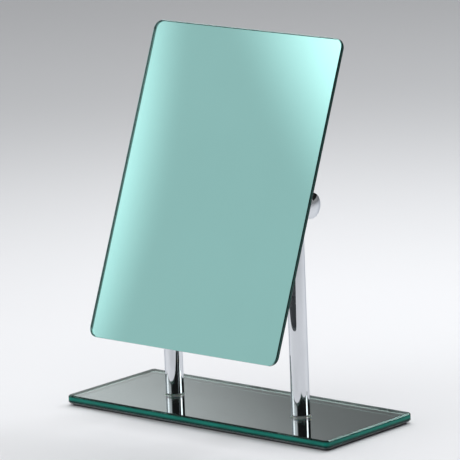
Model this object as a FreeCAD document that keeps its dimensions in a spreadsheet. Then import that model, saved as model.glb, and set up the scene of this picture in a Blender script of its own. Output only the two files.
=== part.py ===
"""Countertop mirror: a frameless pane that tilts between two chrome posts on a silvered glass base.

Millimetres. +Z is up, +X is to the right of a person who looks into the mirror, and -Y is towards
that person. The origin is on the counter, under the middle of the base.
"""

import FreeCAD, Part

import math
import os
import re

import Sketcher
from FreeCAD import Placement, Rotation, Vector

# Driving dimensions: cell alias, value, what it is.
CELLS = [
    ("base_width", 330, "glass base, left to right"),
    ("base_depth", 128, "glass base, front to back"),
    ("base_thickness", 8, "glass base"),
    ("base_corner", 4, "radius of the base's upright corners"),
    ("base_arris", 1.2, "polished bevel along the base's edges"),
    ("silver_thickness", 0.3, "silver coat and its paint"),
    ("felt_thickness", 2, "felt sheet that the base rests on"),
    ("felt_inset", 3, "from the base's edges to the felt's"),
    ("gasket_thickness", 0.8, "clear ring between tube and glass, flush with the tube"),
    ("post_spacing", 160, "between the posts' centre lines"),
    ("post_radius", 9, "chrome tube, outside"),
    ("post_wall", 1.2, "chrome tube"),
    ("post_overrun", 12, "tube above the pivot axis"),
    ("pivot_rise", 206.4, "pivot axis above the base's top face"),
    ("slug_length", 24, "threaded slug in the tube's bottom"),
    ("slug_crown", 4, "solid top of the threaded slug"),
    ("cap_rise", 2.5, "dome of the cap above the tube's end"),
    ("cap_spigot", 4, "part of the cap inside the tube"),
    ("screw_radius", 3, "countersunk M6 screw"),
    ("screw_length", 22, "countersunk screw, overall"),
    ("head_radius", 6, "countersunk screw head"),
    ("socket_circle", 2.3, "corner radius of the screw's hexagon socket"),
    ("socket_depth", 2, "hexagon socket"),
    ("liner_wall", 3, "nylon between the screw and the glass"),
    ("liner_flare", 4, "growth of the liner's cone, in radius and in height"),
    ("stud_radius", 3, "M6 stud of an end knob"),
    ("stud_seat", 8, "depth of the stud in the knob"),
    ("running_gap", 0.05, "radial clearance of a running fit"),
    ("side_gap", 0.3, "along the axis, between a turning piece and a still one"),
    ("washer_gap", 0.15, "along the axis, between a knob and its washer"),
    ("bush_radius", 4.5, "nylon bush in the post, outside"),
    ("saddle_radius", 7, "nylon saddle washer"),
    ("saddle_crown", 1.6, "thinnest part of a saddle washer"),
    ("washer_radius", 8, "conical spring washer"),
    ("washer_height", 0.8, "conical spring washer"),
    ("knob_radius", 12.5, "end knob"),
    ("knob_length", 14.5, "end knob, to the top of its dome"),
    ("knob_dome", 3.4, "height of the knob's dome"),
    ("knob_edge", 1.0, "rounding of the knob's edges"),
    ("mirror_width", 236, "pane"),
    ("mirror_tall", 315, "pane"),
    ("mirror_thickness", 4, "pane"),
    ("mirror_corner", 9.5, "radius of the pane's corners"),
    ("mirror_arris", 0.6, "polished bevel along the pane's edges"),
    ("mirror_reach", 23.7, "front face of the pane ahead of the pivot axis"),
    ("rest_tilt", 21.7, "how far the pane leans back at rest, in degrees"),
    ("panel_thickness", 2, "protective panel behind the pane"),
    ("panel_inset", 6, "from the pane's edges to the panel's"),
    ("tape_thickness", 1, "double-sided tape"),
    ("tape_height", 22, "one strip of tape"),
    ("bracket_thickness", 2, "folded steel"),
    ("bracket_height", 66, "plate of the bracket"),
    ("bracket_bend", 1, "inside radius of the bracket's folds"),
    ("eye_radius", 11, "round end of an ear, about the pivot axis"),
    ("nut_length", 10, "hexagonal part of a pivot nut"),
    ("nut_circle", 7.5, "corner radius of a pivot nut"),
    ("collar_radius", 5, "collar of a pivot nut, pressed in the ear"),
]
ALIASES = {alias for alias, _, _ in CELLS}

# Places and sizes that follow from the driving ones, as formulas of the cells.
BASE_BOTTOM = "(felt_thickness + silver_thickness)"
BASE_TOP = f"({BASE_BOTTOM} + base_thickness)"
POST_FOOT = f"({BASE_TOP} + gasket_thickness)"
PIVOT_HEIGHT = f"({BASE_TOP} + pivot_rise)"
POST_TOP = f"({PIVOT_HEIGHT} + post_overrun)"
TUBE_BORE = "(post_radius - post_wall)"
RUNNING_BORE = "(stud_radius + running_gap)"
LINER_RADIUS = "(screw_radius + liner_wall)"
FLARE_RADIUS = f"({LINER_RADIUS} + liner_flare)"
# Along the pivot axis, outwards from a post's centre line.
SADDLE_FACE = "(post_radius + saddle_crown)"
WASHER_FACE = f"({SADDLE_FACE} + side_gap)"
KNOB_FACE = f"({WASHER_FACE} + washer_height + washer_gap)"
# Along the pivot axis, from the middle of the mirror.
EAR_FACE = f"(post_spacing / 2 - {SADDLE_FACE} - side_gap)"
# Behind the pane, ahead of the pivot axis.
SILVER_FRONT = "(mirror_reach - mirror_thickness)"
PANEL_FRONT = f"({SILVER_FRONT} - silver_thickness)"
TAPE_FRONT = f"({PANEL_FRONT} - panel_thickness)"
BRACKET_FRONT = f"({TAPE_FRONT} - tape_thickness)"
BRACKET_BACK = f"({BRACKET_FRONT} - bracket_thickness)"

SIDES = (("left", -1), ("right", 1))
X_AXIS = Vector(1, 0, 0)
Y_AXIS = Vector(0, 1, 0)
Z_AXIS = Vector(0, 0, 1)
TOWARDS = {1: Rotation(Y_AXIS, 90), -1: Rotation(Y_AXIS, -90)}
TINY = 1e-4

doc = FreeCAD.newDocument("countertop_mirror")
sheet = doc.addObject("Spreadsheet::Sheet", "sizes")
subparts = []


def fill_sheet():
    for row, (alias, value, meaning) in enumerate(CELLS, start=1):
        sheet.set(f"A{row}", meaning)
        sheet.set(f"B{row}", str(value))
        sheet.setAlias(f"B{row}", alias)
    doc.recompute()


def formula(text):
    """Points each cell name in a formula at the sheet."""
    return re.sub(r"[a-z_]+", lambda m: f"sizes.{m.group()}" if m.group() in ALIASES else m.group(), text)


def bind(item, **sizes):
    """Binds named properties of an object to formulas of the cells."""
    for name, text in sizes.items():
        item.setExpression(name, formula(text))


def place(item, x="0", y="0", z="0"):
    for axis, text in (("x", x), ("y", y), ("z", z)):
        item.setExpression(f".Placement.Base.{axis}", formula(text))


def place_on_head(item):
    """Puts a piece that is drawn about the pivot axis on that axis, leaning back by the rest tilt."""
    item.Placement = Placement(Vector(0, 0, 0), Rotation(X_AXIS, -1))
    place(item, z=PIVOT_HEIGHT)
    item.setExpression(".Placement.Rotation.Angle", formula("-rest_tilt"))


def keep(item, label):
    """Marks an object as one sub-part of the mirror, under the name of its file."""
    item.Label = label
    subparts.append(item)


# ---- sketches and features ----------------------------------------------------------------------


def new_body(name):
    return doc.addObject("PartDesign::Body", f"{name}_body")


def new_sketch(body, role, offset="0"):
    """A sketch on one of the body's own origin planes, moved along the plane's normal."""
    sketch = body.newObject("Sketcher::SketchObject", f"{body.Name}_sketch")
    plane = next(item for item in body.Origin.OriginFeatures if item.Role == role)
    sketch.AttachmentSupport = [(plane, "")]
    sketch.MapMode = "FlatFace"
    sketch.setExpression(".AttachmentOffset.Base.z", formula(offset))
    return sketch


def pin_point(sketch, line, point, x, y):
    """Holds a point of the sketch at x, y from the sketch's origin."""
    for kind, text in (("DistanceX", x), ("DistanceY", y)):
        index = sketch.addConstraint(Sketcher.Constraint(kind, -1, 1, line, point, 1.0))
        sketch.setExpression(f"Constraints[{index}]", formula(text))


def draw_polygon(sketch, corners):
    """A closed outline through corners given as pairs of formulas."""
    count = len(corners)
    first = sketch.GeometryCount
    turns = [2 * math.pi * i / count for i in range(count)]
    starts = [Vector(math.cos(turn), math.sin(turn), 0) for turn in turns]
    for i in range(count):
        sketch.addGeometry(Part.LineSegment(starts[i], starts[(i + 1) % count]), False)
    for i, (x, y) in enumerate(corners):
        sketch.addConstraint(Sketcher.Constraint("Coincident", first + i, 2, first + (i + 1) % count, 1))
        pin_point(sketch, first + i, 1, x, y)


def draw_rectangle(sketch, width, height):
    """A rectangle about the sketch's origin."""
    right, top = f"({width}) / 2", f"({height}) / 2"
    left, bottom = f"-{right}", f"-{top}"
    draw_polygon(sketch, [(right, top), (left, top), (left, bottom), (right, bottom)])


def draw_circle(sketch, radius, x="0", y="0"):
    circle = sketch.addGeometry(Part.Circle(Vector(0, 0, 0), Z_AXIS, 1), False)
    index = sketch.addConstraint(Sketcher.Constraint("Radius", circle, 1.0))
    sketch.setExpression(f"Constraints[{index}]", formula(radius))
    pin_point(sketch, circle, 3, x, y)


def pad(body, sketch, length):
    feature = body.newObject("PartDesign::Pad", f"{body.Name}_pad")
    feature.Profile = sketch
    bind(feature, Length=length)
    doc.recompute()


def pocket_through(body, sketch):
    """Cuts the sketch through the whole solid, both ways from its plane."""
    before = body.Shape.Volume
    feature = body.newObject("PartDesign::Pocket", f"{body.Name}_pocket")
    feature.Profile = sketch
    feature.Type = "ThroughAll"
    feature.Midplane = True
    doc.recompute()
    if feature.Shape.Volume > before - TINY:
        raise RuntimeError(f"{feature.Name} cuts nothing")


def dress(body, kind, names, size):
    """Adds a Fillet or a Chamfer of the body's named edges or faces."""
    base = body.Tip
    feature = body.newObject(f"PartDesign::{kind}", f"{body.Name}_{kind.lower()}")
    feature.Base = (base, names)
    feature.setExpression("Radius" if kind == "Fillet" else "Size", formula(size))
    doc.recompute()


def straight_edges(shape, direction):
    """Names of the straight edges that run along a direction."""
    found = []
    for number, edge in enumerate(shape.Edges, start=1):
        if isinstance(edge.Curve, Part.Line):
            if abs(edge.tangentAt(edge.FirstParameter).dot(direction)) > 1 - TINY:
                found.append(f"Edge{number}")
    return found


def circular_edges(shape, radius):
    """Numbers of the edges that are circles of a radius, which leaves out the pole of a sphere."""
    found = []
    for number, edge in enumerate(shape.Edges, start=1):
        if edge.Degenerated or not isinstance(edge.Curve, Part.Circle):
            continue
        if abs(edge.Curve.Radius - radius) < TINY:
            found.append(number)
    return found


def end_faces(shape, direction):
    """Names of the flat faces whose normal lies along a direction, either way."""
    found = []
    for number, face in enumerate(shape.Faces, start=1):
        if isinstance(face.Surface, Part.Plane) and abs(face.normalAt(0, 0).dot(direction)) > 1 - TINY:
            found.append(f"Face{number}")
    return found


# ---- primitives ---------------------------------------------------------------------------------


def primitive(kind, name, at, turn=Rotation(), **sizes):
    """A Part primitive whose place and sizes are formulas of the cells."""
    item = doc.addObject(f"Part::{kind}", name)
    bind(item, **sizes)
    item.Placement = Placement(Vector(0, 0, 0), turn)
    place(item, *at)
    return item


def combine(kind, name, base, *tools):
    """Applies a Cut, Fuse or Common to the base with each tool in turn."""
    for number, tool in enumerate(tools, start=1):
        item = doc.addObject(f"Part::{kind}", f"{name}_{kind.lower()}_{number}")
        item.Base = base
        item.Tool = tool
        base = item
    return base


def group(label, members):
    """Several identical pieces under one name."""
    item = doc.addObject("Part::Compound", f"{label}_group")
    item.Links = members
    keep(item, label)
    return item


def dome_radius(width, rise):
    """Radius of the sphere whose cap has this half width and this rise."""
    return f"(({width} * {width} + {rise} * {rise}) / (2 * {rise}))"


# ---- base ---------------------------------------------------------------------------------------


def build_sheet(label, role, width, height, thickness, corner, offset="0"):
    """A flat sheet with rounded corners on one origin plane of its body."""
    body = new_body(label)
    outline = new_sketch(body, role, offset)
    draw_rectangle(outline, width, height)
    pad(body, outline, thickness)
    normal = Z_AXIS if role == "XY_Plane" else Y_AXIS
    dress(body, "Fillet", straight_edges(body.Shape, normal), corner)
    keep(body, label)
    return body


def build_base_layer(label, inset, thickness, height, hole):
    """One of the base's flat layers, with the holes under its two posts."""
    layer = build_sheet(label, "XY_Plane", f"base_width - 2 * {inset}", f"base_depth - 2 * {inset}",
                        thickness, "base_corner")
    if label == "base_glass":
        dress(layer, "Chamfer", end_faces(layer.Shape, Z_AXIS), "base_arris")
    drilled = new_sketch(layer, "XY_Plane")
    for _, sign in SIDES:
        draw_circle(drilled, hole, x=f"{sign} * post_spacing / 2")
    pocket_through(layer, drilled)
    if label == "base_glass":
        dress(layer, "Chamfer", bottom_rims(layer.Shape), "liner_flare")
    place(layer, z=height)


def bottom_rims(shape):
    """Names of the edges where the two post holes meet the glass's underside."""
    rims = circular_edges(shape, sheet.screw_radius + sheet.liner_wall)
    bottom = shape.BoundBox.ZMin
    return [f"Edge{number}" for number in rims if shape.Edges[number - 1].CenterOfMass.z - bottom < TINY]


def build_base():
    build_base_layer("base_glass", "0", "base_thickness", BASE_BOTTOM, LINER_RADIUS)
    build_base_layer("base_silvering", "base_arris", "silver_thickness", "felt_thickness", FLARE_RADIUS)
    build_base_layer("base_felt", "felt_inset", "felt_thickness", "0", FLARE_RADIUS)


# ---- posts --------------------------------------------------------------------------------------


def build_post(side, centre):
    """A tube with a cross hole for the pivot, a threaded slug at its foot and a domed cap on top."""
    tube = new_body(f"post_{side}")
    ring = new_sketch(tube, "XY_Plane")
    draw_circle(ring, "post_radius")
    draw_circle(ring, TUBE_BORE)
    pad(tube, ring, f"{POST_TOP} - {POST_FOOT}")
    crossing = new_sketch(tube, "YZ_Plane")
    draw_circle(crossing, "bush_radius", y=f"{PIVOT_HEIGHT} - {POST_FOOT}")
    pocket_through(tube, crossing)
    place(tube, x=centre, z=POST_FOOT)
    keep(tube, f"post_{side}")

    foot = (centre, "0", POST_FOOT)
    slug = primitive("Cylinder", f"slug_{side}", foot, Radius=TUBE_BORE, Height="slug_length")
    thread = primitive("Cylinder", f"thread_{side}", foot, Radius="screw_radius",
                       Height="slug_length - slug_crown")
    keep(combine("Cut", f"post_plug_{side}", slug, thread), f"post_plug_{side}")

    ball_radius = dome_radius("post_radius", "cap_rise")
    ball = primitive("Sphere", f"cap_ball_{side}", (centre, "0", f"{POST_TOP} + cap_rise - {ball_radius}"),
                     Radius=ball_radius)
    disc = primitive("Cylinder", f"cap_disc_{side}", (centre, "0", POST_TOP),
                     Radius="post_radius", Height="cap_rise")
    spigot = primitive("Cylinder", f"cap_spigot_{side}", (centre, "0", f"{POST_TOP} - cap_spigot"),
                       Radius=TUBE_BORE, Height="cap_spigot")
    dome = combine("Common", f"cap_dome_{side}", disc, ball)
    keep(combine("Fuse", f"post_cap_{side}", dome, spigot), f"post_cap_{side}")


def build_gasket(side, centre):
    seat = (centre, "0", BASE_TOP)
    ring = primitive("Cylinder", f"ring_{side}", seat, Radius="post_radius", Height="gasket_thickness")
    hole = primitive("Cylinder", f"ring_hole_{side}", seat, Radius="screw_radius", Height="gasket_thickness")
    return combine("Cut", f"gasket_{side}", ring, hole)


def build_liner(side, centre):
    """A nylon sleeve with a cone, which fills the glass hole and its countersink round the screw."""
    seat = (centre, "0", BASE_BOTTOM)
    sleeve = primitive("Cylinder", f"sleeve_{side}", seat, Radius=LINER_RADIUS, Height="base_thickness")
    flare = primitive("Cone", f"flare_{side}", seat, Radius1=FLARE_RADIUS, Radius2=LINER_RADIUS,
                      Height="liner_flare")
    bore = primitive("Cylinder", f"liner_bore_{side}", seat, Radius="screw_radius", Height="base_thickness")
    sink = primitive("Cone", f"liner_sink_{side}", seat, Radius1="head_radius", Radius2="screw_radius",
                     Height="head_radius - screw_radius")
    blank = combine("Fuse", f"liner_blank_{side}", sleeve, flare)
    return combine("Cut", f"liner_{side}", blank, bore, sink)


def build_screw(side, centre):
    seat = (centre, "0", BASE_BOTTOM)
    head = primitive("Cone", f"head_{side}", seat, Radius1="head_radius", Radius2="screw_radius",
                     Height="head_radius - screw_radius")
    shank = primitive("Cylinder", f"shank_{side}", seat, Radius="screw_radius", Height="screw_length")
    socket = primitive("Prism", f"socket_{side}", seat, Circumradius="socket_circle", Height="socket_depth")
    blank = combine("Fuse", f"screw_blank_{side}", head, shank)
    return combine("Cut", f"screw_{side}", blank, socket)


# ---- pivot --------------------------------------------------------------------------------------


def build_bush(side, centre):
    """A nylon sleeve through the post, which the knob's stud turns in."""
    reach = f"({SADDLE_FACE} - side_gap)"
    start = (f"{centre} - {reach}", "0", PIVOT_HEIGHT)
    sleeve = primitive("Cylinder", f"bush_{side}", start, TOWARDS[1], Radius="bush_radius",
                       Height=f"2 * {reach}")
    bore = primitive("Cylinder", f"bush_bore_{side}", start, TOWARDS[1], Radius=RUNNING_BORE,
                     Height=f"2 * {reach}")
    keep(combine("Cut", f"pivot_bush_{side}", sleeve, bore), f"pivot_bush_{side}")


def build_saddle(label, centre, facing):
    """A nylon washer on one side of a post: flat outside, hollowed to the tube inside."""
    axis = (centre, "0", PIVOT_HEIGHT)
    below = (centre, "0", f"{PIVOT_HEIGHT} - saddle_radius")
    blank = primitive("Cylinder", f"{label}_blank", axis, TOWARDS[facing],
                      Radius="saddle_radius", Height=SADDLE_FACE)
    tube = primitive("Cylinder", f"{label}_hollow", below, Radius="post_radius", Height="2 * saddle_radius")
    hole = primitive("Cylinder", f"{label}_hole", axis, TOWARDS[facing],
                     Radius="bush_radius", Height=SADDLE_FACE)
    keep(combine("Cut", label, blank, tube, hole), label)


def build_washer(side, sign, centre):
    """A shallow cone between the knob and the outer saddle, which keeps the tilt firm."""
    seat = (f"{centre} + {sign} * {WASHER_FACE}", "0", PIVOT_HEIGHT)
    disc = primitive("Cone", f"washer_disc_{side}", seat, TOWARDS[sign],
                     Radius1="washer_radius", Radius2="washer_radius - washer_height", Height="washer_height")
    hole = primitive("Cylinder", f"washer_hole_{side}", seat, TOWARDS[sign],
                     Radius=RUNNING_BORE, Height="washer_height")
    keep(combine("Cut", f"spring_washer_{side}", disc, hole), f"spring_washer_{side}")


def build_knob(side, sign, centre):
    """A round knob with a domed end, and the stud that is pressed in it."""
    face = f"{centre} + {sign} * {KNOB_FACE}"
    ball_radius = dome_radius("knob_radius", "knob_dome")
    seat = (face, "0", PIVOT_HEIGHT)
    blank = primitive("Cylinder", f"knob_blank_{side}", seat, TOWARDS[sign],
                      Radius="knob_radius", Height="knob_length")
    ball = primitive("Sphere", f"knob_ball_{side}",
                     (f"{face} + {sign} * (knob_length - {ball_radius})", "0", PIVOT_HEIGHT), TOWARDS[sign],
                     Radius=ball_radius)
    domed = combine("Common", f"knob_domed_{side}", blank, ball)
    doc.recompute()
    rounded = doc.addObject("Part::Fillet", f"knob_rounded_{side}")
    rounded.Base = domed
    rounded.Edges = [(number, sheet.knob_edge, sheet.knob_edge)
                     for number in circular_edges(domed.Shape, sheet.knob_radius)]
    socket = primitive("Cylinder", f"knob_socket_{side}", seat, TOWARDS[sign],
                       Radius="stud_radius", Height="stud_seat")
    keep(combine("Cut", f"knob_{side}", rounded, socket), f"knob_{side}")

    nut_end = f"({EAR_FACE} - bracket_thickness - nut_length)"
    stud = primitive("Cylinder", f"stud_{side}", (f"{sign} * {nut_end}", "0", PIVOT_HEIGHT), TOWARDS[sign],
                     Radius="stud_radius", Height=f"post_spacing / 2 + {KNOB_FACE} + stud_seat - {nut_end}")
    keep(stud, f"stud_{side}")


# ---- mirror head, drawn upright about the pivot axis --------------------------------------------


def build_head_layer(label, inset, thickness, back):
    """One of the mirror's flat layers, from its back face forwards."""
    layer = build_sheet(label, "XZ_Plane", f"mirror_width - 2 * {inset}", f"mirror_tall - 2 * {inset}",
                        thickness, f"mirror_corner - {inset}", offset=back)
    if label == "mirror_glass":
        dress(layer, "Chamfer", end_faces(layer.Shape, Y_AXIS), "mirror_arris")
    place_on_head(layer)


def build_tape():
    """Two level strips of double-sided tape, along the top and the bottom of the bracket's plate."""
    half_width = f"({EAR_FACE} - bracket_thickness - bracket_bend)"
    strips = []
    for name, low in (("upper", "bracket_height / 2 - tape_height"), ("lower", "-bracket_height / 2")):
        strip = primitive("Box", f"strip_{name}", (f"-{half_width}", f"-{TAPE_FRONT}", low),
                          Length=f"2 * {half_width}", Width="tape_thickness", Height="tape_height")
        strips.append(strip)
    place_on_head(group("bond_tape", strips))


def build_bracket():
    """A channel folded round the back of the pane, its two arms trimmed to ears about the pivot axis."""
    channel = new_body("bracket_channel")
    section = new_sketch(channel, "XY_Plane", "-bracket_height / 2")
    inner = f"({EAR_FACE} - bracket_thickness)"
    draw_polygon(section, [
        (EAR_FACE, "eye_radius"),
        (inner, "eye_radius"),
        (inner, f"-{BRACKET_BACK}"),
        (f"-{inner}", f"-{BRACKET_BACK}"),
        (f"-{inner}", "eye_radius"),
        (f"-{EAR_FACE}", "eye_radius"),
        (f"-{EAR_FACE}", f"-{BRACKET_FRONT}"),
        (EAR_FACE, f"-{BRACKET_FRONT}"),
    ])
    pad(channel, section, "bracket_height")
    for depth, radius in ((sheet.bracket_thickness, "bracket_bend"), (0, "bracket_bend + bracket_thickness")):
        dress(channel, "Fillet", fold_edges(channel.Shape, depth), radius)

    silhouette = new_body("bracket_silhouette")
    for draw in (draw_ear_web, draw_ear_eye):
        outline = new_sketch(silhouette, "YZ_Plane", f"-{EAR_FACE}")
        draw(outline)
        pad(silhouette, outline, f"2 * {EAR_FACE}")
    eye = new_sketch(silhouette, "YZ_Plane")
    draw_circle(eye, "collar_radius")
    pocket_through(silhouette, eye)

    bracket = combine("Common", "bracket", channel, silhouette)
    place_on_head(bracket)
    keep(bracket, "pivot_bracket")


def fold_edges(shape, depth):
    """Names of the upright edges at the channel's two folds, a depth inside its outer faces."""
    box = shape.BoundBox
    found = []
    for name in straight_edges(shape, Z_AXIS):
        centre = shape.getElement(name).CenterOfMass
        if abs(centre.y - box.YMin - depth) < TINY and abs(abs(centre.x) - box.XMax + depth) < TINY:
            found.append(name)
    return found


def draw_ear_web(sketch):
    """A web that tapers from the plate, and meets the eye's circle along two tangents."""
    corner = f"sqrt({BRACKET_FRONT} * {BRACKET_FRONT} + bracket_height * bracket_height / 4)"
    touch = f"(atan(bracket_height / 2 / {BRACKET_FRONT}) + acos(eye_radius / {corner}))"
    touch_y, touch_z = f"-eye_radius * cos({touch})", f"eye_radius * sin({touch})"
    draw_polygon(sketch, [
        (f"-{BRACKET_FRONT}", "bracket_height / 2"),
        (f"-{BRACKET_FRONT}", "-bracket_height / 2"),
        (touch_y, f"-{touch_z}"),
        (touch_y, touch_z),
    ])


def draw_ear_eye(sketch):
    draw_circle(sketch, "eye_radius")


def build_nut(side, sign):
    """A hexagonal nut inside the ear, with a collar pressed into the ear's eye."""
    length = "(nut_length + bracket_thickness)"
    start = (f"{sign} * ({EAR_FACE} - {length})", "0", "0")
    hexagon = primitive("Prism", f"hexagon_{side}", start, TOWARDS[sign],
                        Circumradius="nut_circle", Height="nut_length")
    collar = primitive("Cylinder", f"collar_{side}", start, TOWARDS[sign], Radius="collar_radius",
                       Height=length)
    bore = primitive("Cylinder", f"nut_bore_{side}", start, TOWARDS[sign], Radius=RUNNING_BORE,
                     Height=length)
    blank = combine("Fuse", f"nut_blank_{side}", hexagon, collar)
    nut = combine("Cut", f"nut_{side}", blank, bore)
    place_on_head(nut)
    keep(nut, f"pivot_nut_{side}")


# ---- check and export ---------------------------------------------------------------------------


def check_all():
    for item in doc.Objects:
        if "Invalid" in item.State or "Error" in item.State:
            raise RuntimeError(f"{item.Name} failed: {item.State}")
    for item in subparts:
        if item.Shape.isNull() or not item.Shape.isValid():
            raise RuntimeError(f"{item.Label} has no valid shape")


def export_all():
    os.makedirs("parts", exist_ok=True)
    for item in subparts:
        item.Shape.exportStep(f"parts/{item.Label}.step")
        box = item.Shape.optimalBoundingBox(False)
        print(f"{item.Label:22s} {len(item.Shape.Solids)} solids  {item.Shape.Volume:9.1f} mm3"
              f"  x {box.XMin:7.1f} {box.XMax:7.1f}  y {box.YMin:6.1f} {box.YMax:6.1f}"
              f"  z {box.ZMin:6.1f} {box.ZMax:6.1f}")


def main():
    fill_sheet()
    build_base()
    centres = {side: f"{sign} * post_spacing / 2" for side, sign in SIDES}
    for label, build in (("post_gaskets", build_gasket), ("hole_liners", build_liner),
                         ("post_screws", build_screw)):
        group(label, [build(side, centre) for side, centre in centres.items()])
    for side, sign in SIDES:
        build_post(side, centres[side])
        build_bush(side, centres[side])
        build_saddle(f"outer_saddle_{side}", centres[side], sign)
        build_saddle(f"inner_saddle_{side}", centres[side], -sign)
        build_washer(side, sign, centres[side])
        build_knob(side, sign, centres[side])
    build_head_layer("mirror_glass", "0", "mirror_thickness", SILVER_FRONT)
    build_head_layer("mirror_silvering", "mirror_arris", "silver_thickness", PANEL_FRONT)
    build_head_layer("mirror_back_panel", "panel_inset", "panel_thickness", TAPE_FRONT)
    build_tape()
    build_bracket()
    for side, sign in SIDES:
        build_nut(side, sign)
    doc.recompute()
    check_all()
    export_all()


main()
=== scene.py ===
"""Looks of the countertop mirror: materials, pale floor, studio light and camera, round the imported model."""

import math

import bmesh
import bpy
from mathutils import Matrix, Vector


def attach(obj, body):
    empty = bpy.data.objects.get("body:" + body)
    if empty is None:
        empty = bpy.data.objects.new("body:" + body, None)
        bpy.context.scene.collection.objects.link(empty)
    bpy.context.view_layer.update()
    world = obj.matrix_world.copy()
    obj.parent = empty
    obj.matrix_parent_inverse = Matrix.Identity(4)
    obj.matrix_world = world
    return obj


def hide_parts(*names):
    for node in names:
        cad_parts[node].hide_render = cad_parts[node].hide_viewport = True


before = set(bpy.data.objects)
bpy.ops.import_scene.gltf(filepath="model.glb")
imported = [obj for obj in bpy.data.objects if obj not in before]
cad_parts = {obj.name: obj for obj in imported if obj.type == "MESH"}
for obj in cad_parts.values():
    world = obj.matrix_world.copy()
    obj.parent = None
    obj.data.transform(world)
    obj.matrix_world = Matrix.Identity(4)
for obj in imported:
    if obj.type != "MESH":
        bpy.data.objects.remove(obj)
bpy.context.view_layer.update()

# How deep an opaque layer sits in the glass it is bonded to, so that no two faces share a plane.
BEDDING = 0.00005
# How far lacquer laps over the rear arrises of a glass, from its silvered face.
LAP = 0.0012
# Faces of a turned piece that meet at more than this are shaded as an edge.
SHARP_EDGE = math.radians(25)
GLASS_IOR = 1.52

# The mirror leans back by this much at rest, and its glass faces the front.
LEAN = math.radians(21.7)
UP = Vector((0, 0, 1))
MIRROR_FRONT = Vector((0, -math.cos(LEAN), math.sin(LEAN)))
# How far each silvered face is along the way that its glass faces, from the row frame's origin.
PIVOT_HEIGHT = 0.2167
PIVOT_TO_SILVER = 0.0197
BASE_SILVER = 0.0023
MIRROR_SILVER = PIVOT_HEIGHT * math.sin(LEAN) + PIVOT_TO_SILVER


# ---- node trees ---------------------------------------------------------------------------------


class Tree:
    """Builds a node tree: each method adds one node, feeds it, and returns its output."""

    def __init__(self, owner):
        owner.use_nodes = True
        self.nodes = owner.node_tree.nodes
        self.links = owner.node_tree.links
        self.nodes.clear()

    def feed(self, socket, value):
        if isinstance(value, bpy.types.NodeSocket):
            self.links.new(value, socket)
        elif value is not None:
            socket.default_value = value

    def node(self, kind, inputs=None, **settings):
        made = self.nodes.new(kind)
        for name, value in settings.items():
            setattr(made, name, value)
        for name, value in (inputs or {}).items():
            self.feed(made.inputs[name], value)
        return made

    def math(self, operation, first, second=None):
        made = self.node("ShaderNodeMath", operation=operation)
        self.feed(made.inputs[0], first)
        self.feed(made.inputs[1], second)
        return made.outputs[0]

    def dot(self, vector, direction):
        made = self.node("ShaderNodeVectorMath", operation="DOT_PRODUCT")
        self.feed(made.inputs[0], vector)
        self.feed(made.inputs[1], tuple(direction))
        return made.outputs["Value"]

    def step(self, value, low, high, to_low=0.0, to_high=1.0):
        """Goes smoothly from to_low to to_high as value goes from low to high."""
        made = self.node("ShaderNodeMapRange", interpolation_type="SMOOTHSTEP",
                         inputs={"Value": value, "From Min": low, "From Max": high,
                                 "To Min": to_low, "To Max": to_high})
        return made.outputs["Result"]

    def mix(self, amount, first, second):
        """Mixes two colours."""
        made = self.node("ShaderNodeMix", data_type="RGBA")
        self.feed(made.inputs[0], amount)
        for socket, value in ((made.inputs[6], first), (made.inputs[7], second)):
            self.feed(socket, (*value, 1) if isinstance(value, tuple) else value)
        return made.outputs[2]

    def ramp(self, value, stops):
        """A colour for each place along a value, given as (place, colour) pairs."""
        made = self.node("ShaderNodeValToRGB", inputs={"Fac": value})
        made.color_ramp.interpolation = "EASE"
        elements = made.color_ramp.elements
        for i, (place, colour) in enumerate(stops):
            element = elements[i] if i < 2 else elements.new(place)
            element.position = place
            element.color = (*colour, 1)
        return made.outputs["Color"]

    def place(self):
        """The point on the object, in metres in the row frame."""
        return self.node("ShaderNodeTexCoord").outputs["Object"]

    def noise(self, vector, scale, detail=3.0, roughness=0.55, stretch=None):
        if stretch:
            vector = self.node("ShaderNodeMapping", inputs={"Vector": vector, "Scale": stretch}).outputs[0]
        made = self.node("ShaderNodeTexNoise", inputs={"Vector": vector, "Scale": scale, "Detail": detail,
                                                       "Roughness": roughness})
        return made.outputs["Fac"]

    def bump(self, height, strength, distance):
        made = self.node("ShaderNodeBump", inputs={"Height": height, "Strength": strength,
                                                   "Distance": distance})
        return made.outputs["Normal"]


def surface(name, build, colour=None, density=None):
    """A material whose one shader takes the inputs that build(tree) returns.

    Where a density is given, its inside absorbs light, to the colour.
    """
    material = bpy.data.materials.new(name)
    tree = Tree(material)
    shader = tree.node("ShaderNodeBsdfPrincipled", inputs=build(tree))
    ends = {"Surface": shader.outputs[0]}
    if density:
        inside = tree.node("ShaderNodeVolumeAbsorption", inputs={"Color": (*colour, 1), "Density": density})
        ends["Volume"] = inside.outputs[0]
    tree.node("ShaderNodeOutputMaterial", inputs=ends)
    return material


# ---- materials ----------------------------------------------------------------------------------


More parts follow.
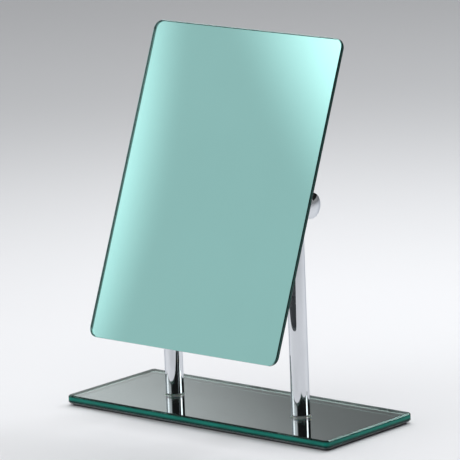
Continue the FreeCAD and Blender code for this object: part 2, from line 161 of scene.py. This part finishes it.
def glass_material(name, facing, back, thickness, edge_shade_and_glow, inner_clearness, colour, density):
    """Polished float glass whose silvered face is at a distance of back along facing.

    Its faces are clear. Its edges look green from outside, where one sees into the whole width of the
    pane: painted shade darkens the arrises and a painted glow brightens the core, both in place of the
    light that runs through the glass. From inside they are hazier than the faces. The
    lacquer of the silver coat laps over the rear arrises.
    """

    def build(tree):
        place = tree.place()
        smears = tree.noise(place, 34, detail=4, stretch=(1, 1, 0.45))
        cloud = tree.noise(place, 22, detail=2)
        normal = tree.node("ShaderNodeTexCoord").outputs["Normal"]
        flatness = tree.math("ABSOLUTE", tree.dot(normal, facing))
        inside = tree.node("ShaderNodeNewGeometry").outputs["Backfacing"]
        outside = tree.math("SUBTRACT", 1.0, inside)
        # The edge is the side face seen from outside. The rim is all but the two faces, seen from inside.
        edge = tree.math("MULTIPLY", tree.step(flatness, 0.25, 0.5, 1.0, 0.0), outside)
        rim = tree.math("MULTIPLY", tree.step(flatness, 0.8, 0.95, 1.0, 0.0), inside)
        # The depth is measured from the silvered face. The band of painted glow, in place of the light that
        # runs through the glass, is a little nearer the front.
        depth = tree.math("SUBTRACT", tree.dot(place, facing), back)
        off_glow = tree.math("ABSOLUTE", tree.math("SUBTRACT", depth, 0.58 * thickness))
        painted_glow = tree.step(off_glow, 0.06 * thickness, 0.34 * thickness, 1.0, 0.0)
        lapped = tree.math("MULTIPLY", tree.step(depth, 0.5 * LAP, LAP, 1.0, 0.0),
                           tree.step(flatness, 0.25, 0.5))
        # The edge's green: painted shade at the arrises and a painted glow in the core, in place of the light
        # that runs through the glass.
        green = tree.mix(tree.math("MULTIPLY", painted_glow, tree.step(cloud, 0.2, 0.6, 0.6, 1.0)), *edge_shade_and_glow)
        tint = tree.mix(edge, tree.mix(rim, (1.0, 1.0, 1.0), (0.30, 0.42, 0.38)), green)
        clearness = tree.math("MULTIPLY", tree.step(edge, 0.0, 1.0, 1.0, 0.4),
                              tree.step(rim, 0.0, 1.0, 1.0, inner_clearness))
        return {
            "Base Color": tree.mix(lapped, tint, (0.02, 0.024, 0.026)),
            "Transmission Weight": tree.math("MULTIPLY", clearness, tree.step(lapped, 0.0, 1.0, 1.0, 0.0)),
            "IOR": GLASS_IOR,
            "Specular Tint": (0.22, 0.62, 0.54, 1),
            "Roughness": tree.math("ADD", tree.step(smears, 0.52, 0.86, 0.0, 0.035),
                                   tree.math("MULTIPLY", edge, 0.05)),
        }

    return surface(name, build, colour, density)


def silver_material(name, colour):
    """Bare silver behind glass: almost a perfect mirror, a little cloudy in places."""

    def build(tree):
        cloud = tree.noise(tree.place(), 9, detail=2)
        return {
            "Base Color": tree.mix(tree.step(cloud, 0.35, 0.7), colour, tuple(0.975 * c for c in colour)),
            "Metallic": 1.0,
            "Roughness": tree.step(cloud, 0.3, 0.8, 0.012, 0.022),
        }

    return surface(name, build)


def paint_material(name, colour):
    """The lacquer that covers the back and the rim of a silver coat."""

    def build(tree):
        flow = tree.noise(tree.place(), 120, detail=4)
        return {
            "Base Color": tree.mix(flow, colour, tuple(0.82 * c for c in colour)),
            "Roughness": tree.step(flow, 0.3, 0.7, 0.38, 0.52),
            "Normal": tree.bump(flow, 0.2, 0.0002),
        }

    return surface(name, build)


def chrome_material(name):
    """Polished chrome plate, rubbed a little duller in patches, with fine upright hairlines."""

    def build(tree):
        place = tree.place()
        rub = tree.noise(place, 90, detail=5, stretch=(1, 1, 0.25))
        hairlines = tree.noise(place, 2600, detail=2, stretch=(1, 1, 0.04))
        return {
            "Base Color": tree.mix(tree.step(rub, 0.35, 0.75), (0.74, 0.76, 0.79), (0.68, 0.70, 0.73)),
            "Metallic": 1.0,
            "Specular Tint": (0.50, 0.53, 0.57, 1),
            "Roughness": tree.step(rub, 0.4, 0.85, 0.03, 0.085),
            "Normal": tree.bump(hairlines, 0.02, 0.00002),
        }

    return surface(name, build)


def steel_material(name, colour):
    """Zinc-plated steel: dull, with a fine grain and a faint warm and cool cast."""

    def build(tree):
        place = tree.place()
        cast = tree.noise(place, 160, detail=3)
        grain = tree.noise(place, 3200, detail=2)
        warm = (colour[0] * 1.06, colour[1], colour[2] * 0.90)
        return {
            "Base Color": tree.mix(tree.step(cast, 0.35, 0.65), colour, warm),
            "Metallic": 1.0,
            "Roughness": tree.step(grain, 0.25, 0.75, 0.24, 0.42),
            "Normal": tree.bump(grain, 0.12, 0.00003),
        }

    return surface(name, build)


def coated_material(name, colour, grain_scale, rough, bump):
    """Powder coat or a grained plastic: a fine orange-peel skin, rubbed a little paler in patches."""

    def build(tree):
        place = tree.place()
        skin = tree.noise(place, grain_scale, detail=2)
        wear = tree.noise(place, 24, detail=5)
        rubbed = tuple(1.25 * c for c in colour)
        return {
            "Base Color": tree.mix(tree.step(wear, 0.5, 0.8), colour, rubbed),
            "Roughness": tree.step(skin, 0.3, 0.7, rough - 0.06, rough + 0.08),
            "Normal": tree.bump(skin, bump, 0.00012),
        }

    return surface(name, build)


def nylon_material(name):
    """Natural nylon: off-white, a little hazy, and soft in the light."""

    def build(tree):
        place = tree.place()
        haze = tree.noise(place, 420, detail=3)
        return {
            "Base Color": tree.mix(haze, (0.80, 0.80, 0.76), (0.70, 0.70, 0.66)),
            "Roughness": tree.step(haze, 0.3, 0.7, 0.36, 0.5),
            "Subsurface Weight": 0.25,
            "Subsurface Scale": 0.001,
            "Normal": tree.bump(haze, 0.1, 0.00005),
        }

    return surface(name, build)


def clear_plastic_material(name):
    """Clear soft plastic with a faint haze."""

    def build(tree):
        haze = tree.noise(tree.place(), 900, detail=2)
        return {
            "Base Color": (0.93, 0.95, 0.95, 1),
            "Transmission Weight": 0.85,
            "IOR": 1.45,
            "Roughness": tree.step(haze, 0.3, 0.7, 0.08, 0.2),
        }

    return surface(name, build)


def felt_material(name):
    """Black felt: matted fibres, with a soft sheen at a low angle."""

    def build(tree):
        place = tree.place()
        fibres = tree.noise(place, 2400, detail=6, roughness=0.7)
        tufts = tree.noise(place, 260, detail=3)
        return {
            "Base Color": tree.mix(tree.step(fibres, 0.35, 0.7), (0.012, 0.012, 0.014), (0.055, 0.055, 0.06)),
            "Roughness": 0.95,
            "Sheen Weight": 0.5,
            "Sheen Roughness": 0.5,
            "Normal": tree.bump(tree.math("ADD", fibres, tufts), 0.7, 0.0004),
        }

    return surface(name, build)


def tape_material(name):
    """Foam tape: off-white, full of small pores."""

    def build(tree):
        cells = tree.node("ShaderNodeTexVoronoi", inputs={"Vector": tree.place(), "Scale": 3200.0})
        pores = cells.outputs["Distance"]
        return {
            "Base Color": tree.mix(tree.step(pores, 0.1, 0.7), (0.62, 0.62, 0.60), (0.80, 0.80, 0.78)),
            "Roughness": 0.85,
            "Normal": tree.bump(pores, 0.5, 0.0001),
        }

    return surface(name, build)


def dress(material, *names):
    """Gives CAD nodes a material in place of the plain one that they were packed with."""
    for name in names:
        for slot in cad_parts[name].material_slots:
            slot.material = material


def both(prefix):
    """The names of a left and a right node."""
    return [f"{prefix}_left", f"{prefix}_right"]


def dress_all():
    # Each pair of edge colours: painted shade at the arrises, then the painted glow of the core.
    base = glass_material("base_glass_look", UP, BASE_SILVER, thickness=0.008,
                          edge_shade_and_glow=((0.0, 0.016, 0.015), (0.006, 0.32, 0.24)),
                          inner_clearness=0.3, colour=(0.45, 0.88, 0.84), density=12.0)
    pane = glass_material("mirror_glass_look", MIRROR_FRONT, MIRROR_SILVER, thickness=0.004,
                          edge_shade_and_glow=((0.0, 0.012, 0.010), (0.003, 0.07, 0.055)),
                          inner_clearness=0.8, colour=(0.34, 0.84, 0.78), density=16.0)
    dress(base, "base_glass")
    dress(pane, "mirror_glass")
    dress(chrome_material("chrome_look"), *both("post"))
    steel = steel_material("steel_look", (0.60, 0.61, 0.62))
    dress(steel, "post_screws", *both("post_plug"), *both("stud"), *both("spring_washer"),
          *both("pivot_nut"))
    dress(coated_material("bracket_look", (0.030, 0.031, 0.034), 1900, 0.42, 0.35), "pivot_bracket")
    dress(coated_material("back_panel_look", (0.050, 0.053, 0.058), 1400, 0.48, 0.3), "mirror_back_panel")
    dress(nylon_material("nylon_look"), *both("pivot_bush"), *both("outer_saddle"), *both("inner_saddle"))
    dress(felt_material("felt_look"), "base_felt")
    dress(tape_material("tape_look"), "bond_tape")


# ---- pieces that stand for CAD nodes ------------------------------------------------------------


def joined_copy(node, suffix, body, slot, swell, *materials):
    """A copy of a CAD node that stands for it, with its seams joined and its faces moved out by swell."""
    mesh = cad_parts[node].data.copy()
    shape = bmesh.new()
    shape.from_mesh(mesh)
    bmesh.ops.remove_doubles(shape, verts=shape.verts, dist=1e-6)
    bmesh.ops.recalc_face_normals(shape, faces=shape.faces)
    shape.normal_update()
    for corner in shape.verts:
        corner.co += corner.normal * swell * corner.calc_shell_factor()
    shape.to_mesh(mesh)
    shape.free()
    mesh.materials.clear()
    for material in materials:
        mesh.materials.append(material)
    piece = bpy.data.objects.new(f"{node}_{suffix}", mesh)
    bpy.context.scene.collection.objects.link(piece)
    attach(piece, body)
    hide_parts(node)
    return piece


def bedded_copy(node, body, slot, *materials):
    """For a thin piece: its copy is swollen into the glass that it is bonded to."""
    return joined_copy(node, "bedded", body, slot, BEDDING, *materials)


def domed_copy(node, body, material):
    """For a turned chrome piece: its copy is shaded evenly over the seam and the pole of its dome."""
    mesh = joined_copy(node, "domed", body, "chrome", 0.0, material).data
    mesh.attributes.remove(mesh.attributes["custom_normal"])
    mesh.shade_smooth()
    mesh.set_sharp_from_angle(angle=SHARP_EDGE)


def mirror_one_side(piece, towards):
    """Only the faces that look towards a direction are bare silver: the others are lacquered."""
    for face in piece.data.polygons:
        face.use_smooth = False
        face.material_index = 0 if face.normal.dot(towards) > 0.5 else 1


def build_layers():
    """The thin pieces that are bonded to glass."""
    lacquer = paint_material("lacquer_look", (0.20, 0.22, 0.23))
    # The mirror silver's teal is partly the green of glass and partly painted reflection, standing in for teal
    # surroundings that the mirror shows.
    coat = bedded_copy("mirror_silvering", "mirror_head", "mirror_silver",
                       silver_material("mirror_silver_look", (0.47, 0.83, 0.80)), lacquer)
    mirror_one_side(coat, MIRROR_FRONT)
    coat = bedded_copy("base_silvering", "stand", "base_silver",
                       silver_material("base_silver_look", (0.86, 0.88, 0.89)), lacquer)
    mirror_one_side(coat, UP)
    bedded_copy("hole_liners", "stand", "nylon", nylon_material("liner_look"))
    bedded_copy("post_gaskets", "stand", "gasket", clear_plastic_material("gasket_look"))


def build_domes():
    """The chrome pieces that end in a dome."""
    chrome = chrome_material("domed_chrome_look")
    for side in ("left", "right"):
        domed_copy(f"knob_{side}", f"{side}_knob", chrome)
        domed_copy(f"post_cap_{side}", "stand", chrome)


# ---- surroundings -------------------------------------------------------------------------------


def build_floor():
    """A wide pale floor with a painted pool of light: it is painted greyer further off, as painted shade where
    the light falls away.
    """
    mesh = bpy.data.meshes.new("floor")
    half = 9.0
    corners = [(-half, -half, 0), (half, -half, 0), (half, half, 0), (-half, half, 0)]
    mesh.from_pydata(corners, [], [(0, 1, 2, 3)])
    floor = bpy.data.objects.new("floor", mesh)
    bpy.context.scene.collection.objects.link(floor)

    def build(tree):
        place = tree.place()
        away = tree.node("ShaderNodeVectorMath", operation="LENGTH", inputs={"Vector": place})
        cloud = tree.noise(place, 1.6, detail=2)
        near = tree.mix(cloud, (0.80, 0.81, 0.84), (0.76, 0.77, 0.80))
        return {
            # Painted pool of light: the colour darkens with distance from the middle of the floor.
            "Base Color": tree.mix(tree.step(away.outputs["Value"], 0.25, 1.8), near, (0.46, 0.47, 0.49)),
            "Roughness": 0.6,
        }

    mesh.materials.append(surface("floor_look", build))


def bearing(azimuth, height):
    """A direction from its bearing, clockwise from +Y, and its height above the horizon."""
    turn, climb = math.radians(azimuth), math.radians(height)
    return Vector((math.sin(turn) * math.cos(climb), math.cos(turn) * math.cos(climb), math.sin(climb)))


# The studio's soft white panels, which stand far off: bearing and height of the middle, and the angles from
# it where the panel begins and ends to fade, all in degrees; then how bright it is.
PANELS = [
    (-136, 26, 26, 46, 0.6),     # a broad fill at the left front
    (-122.5, 17, 12, 13, 1.5),   # the key pair in front of it, with a gap that the mirror shows
    (-147, 33, 12.5, 14.5, 2.0),
    (-60, 26, 19.5, 22, 0.6),    # the glow at the back, which the base shows
    (58, 14, 6, 9, 2.2),         # a strip at the right, for the chrome
]
# Black flags, for dark stripes in the chrome and the base: bearing of the middle, the angles from it
# where the flag begins and ends to fade, and the height of its top. They hang clear of the horizon.
FLAGS = [
    (50, 55, 78, 52),   # a wide tall one at the back right
    (150, 45, 75, 15),  # a low one at the front right
    (-21, 18, 28, 30),  # a narrow one at the back, for the right part of the base
]
FLAG_FOOT = 5.0
# A flag's foot and top are soft over these angles, in degrees. Its shade is nearly black.
FOOT_FADE, TOP_FADE = 2, 8
FLAG_SHADE = (0.012, 0.012, 0.012)


def rise(degrees):
    """The upward part of a direction this high above the horizon."""
    return math.sin(math.radians(degrees))


def near_bearing(tree, direction, azimuth, height, inner, outer):
    """1 within the inner angle of a bearing, fading to 0 at the outer one."""
    facing = tree.dot(direction, bearing(azimuth, height))
    return tree.step(facing, math.cos(math.radians(outer)), math.cos(math.radians(inner)))


def add_flag(tree, direction, light, azimuth, inner, outer, top):
    """The light from each direction, with one flag hung in front of it."""
    height = tree.dot(direction, UP)
    above_foot = tree.step(height, rise(FLAG_FOOT), rise(FLAG_FOOT + FOOT_FADE))
    below_top = tree.step(height, rise(top), rise(top + TOP_FADE), 1.0, 0.0)
    across = near_bearing(tree, direction, azimuth, 0, inner, outer)
    shade = tree.math("MULTIPLY", across, tree.math("MULTIPLY", above_foot, below_top))
    return tree.mix(shade, light, FLAG_SHADE)


def build_world():
    """A plain grey studio that is paler towards the ceiling, with soft white panels and black flags."""
    world = bpy.data.worlds.new("studio")
    bpy.context.scene.world = world
    tree = Tree(world)
    direction = tree.node("ShaderNodeTexCoord").outputs["Generated"]
    greys = [(0.0, 0.30), (0.5, 0.38), (1.0, 0.8)]
    height = tree.step(tree.dot(direction, UP), 0.0, 0.9)
    light = tree.ramp(height, [(place, (grey,) * 3) for place, grey in greys])
    for flag in FLAGS:
        light = add_flag(tree, direction, light, *flag)
    for *panel, brightness in PANELS:
        light = tree.mix(near_bearing(tree, direction, *panel), light, (brightness,) * 3)
    background = tree.node("ShaderNodeBackground", inputs={"Color": light, "Strength": 1.0})
    tree.node("ShaderNodeOutputWorld", inputs={"Surface": background.outputs[0]})


def add_light(name, azimuth, height, away, size, watts, colour):
    """A square soft light that faces the object."""
    data = bpy.data.lights.new(name, "AREA")
    data.shape = "SQUARE"
    data.size = size
    data.energy = watts
    data.color = colour
    lamp = bpy.data.objects.new(name, data)
    lamp.location = bearing(azimuth, height) * away
    lamp.rotation_euler = bearing(azimuth, height).to_track_quat("Z", "Y").to_euler()
    bpy.context.scene.collection.objects.link(lamp)


def add_camera():
    """A long lens, well away from the object: turned, tipped down and a little off level."""
    data = bpy.data.cameras.new("camera")
    data.sensor_width = 36.0
    data.lens = 367.3
    data.clip_end = 60.0
    camera = bpy.data.objects.new("camera", data)
    turn, tip, roll = (math.radians(angle) for angle in (41.131, 12.138, -2.209))
    aim = Matrix.Rotation(turn, 4, "Z") @ Matrix.Rotation(math.pi / 2 - tip, 4, "X")
    camera.matrix_world = (Matrix.Translation((2.8909, -3.3111, 1.1272)) @ aim
                           @ Matrix.Rotation(roll, 4, "Z"))
    bpy.context.scene.collection.objects.link(camera)
    bpy.context.scene.camera = camera


dress_all()
build_layers()
build_domes()
build_floor()
build_world()
add_light("ceiling_light", -40, 66, 2.2, 1.8, 26, (1.0, 0.99, 0.97))
add_light("back_light", 18, 40, 2.6, 0.9, 18, (0.97, 0.99, 1.0))
add_camera()
bpy.context.scene.view_settings.view_transform = "Standard"
